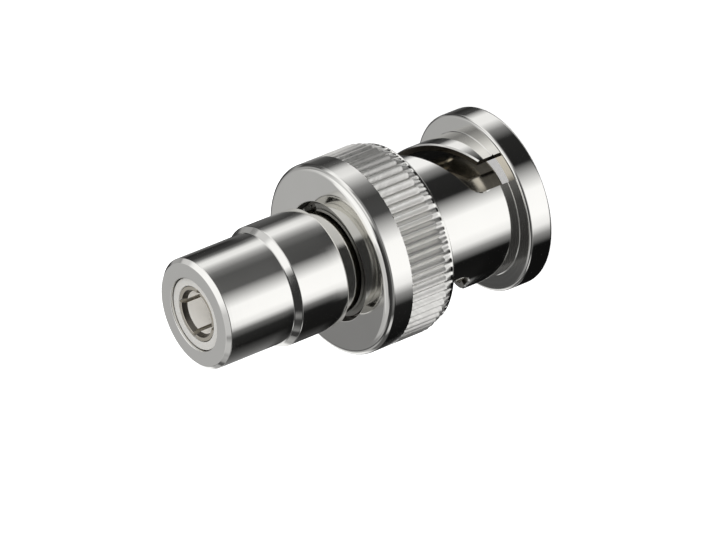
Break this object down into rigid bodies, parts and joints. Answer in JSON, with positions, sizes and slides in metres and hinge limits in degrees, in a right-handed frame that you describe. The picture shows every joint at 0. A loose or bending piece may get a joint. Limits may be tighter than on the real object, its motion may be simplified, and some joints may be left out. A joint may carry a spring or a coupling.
{
  "type": "bnc to rca adapter",
  "caption": "Straight coaxial adapter: bayonet plug with a knurled turning nut at one end, phono socket at the other.",
  "frame": {"origin": "centre of the coupling nut's rim, on the surface that the adapter stands on", "axes": "+Z along the axis, from the bayonet plug's rim towards the phono socket's face; +X and +Y across it"},
  "size_m": [0.0144, 0.0144, 0.027],
  "materials": {
    "nickel": "bright nickel plate",
    "contact": "nickel-plated spring bronze",
    "gold": "gold plate",
    "ptfe": "matte white",
    "white_plastic": "matte white",
    "silicone": "matte black",
    "spring_steel": "satin",
    "washer": "satin nickel"
  },
  "bodies": {
    "root": {"body": "nickel", "rca_shell": "nickel", "rca_insulator": "white_plastic", "rca_contact": "contact", "bnc_pin": "gold", "bnc_insulator": "ptfe", "bnc_outer_contact": "contact", "gasket": "silicone", "retaining_ring": "spring_steel", "wave_washer": "spring_steel"},
    "thrust": {"thrust_washer": "washer"},
    "nut": {"coupling_nut": "nickel"}
  },
  "joints": [
    {"name": "nut_float", "type": "slide", "parent": "root", "child": "thrust", "axis": [0, 0, -1], "range_m": [0, 0.0006], "stiffness_N_per_m": 2000, "springref_m": -0.0003, "deforming": ["wave_washer"]},
    {"name": "nut_turn", "type": "hinge", "parent": "thrust", "child": "nut", "pos_m": [0, 0, 0.0136], "axis": [0, 0, 1], "continuous": true}
  ]
}
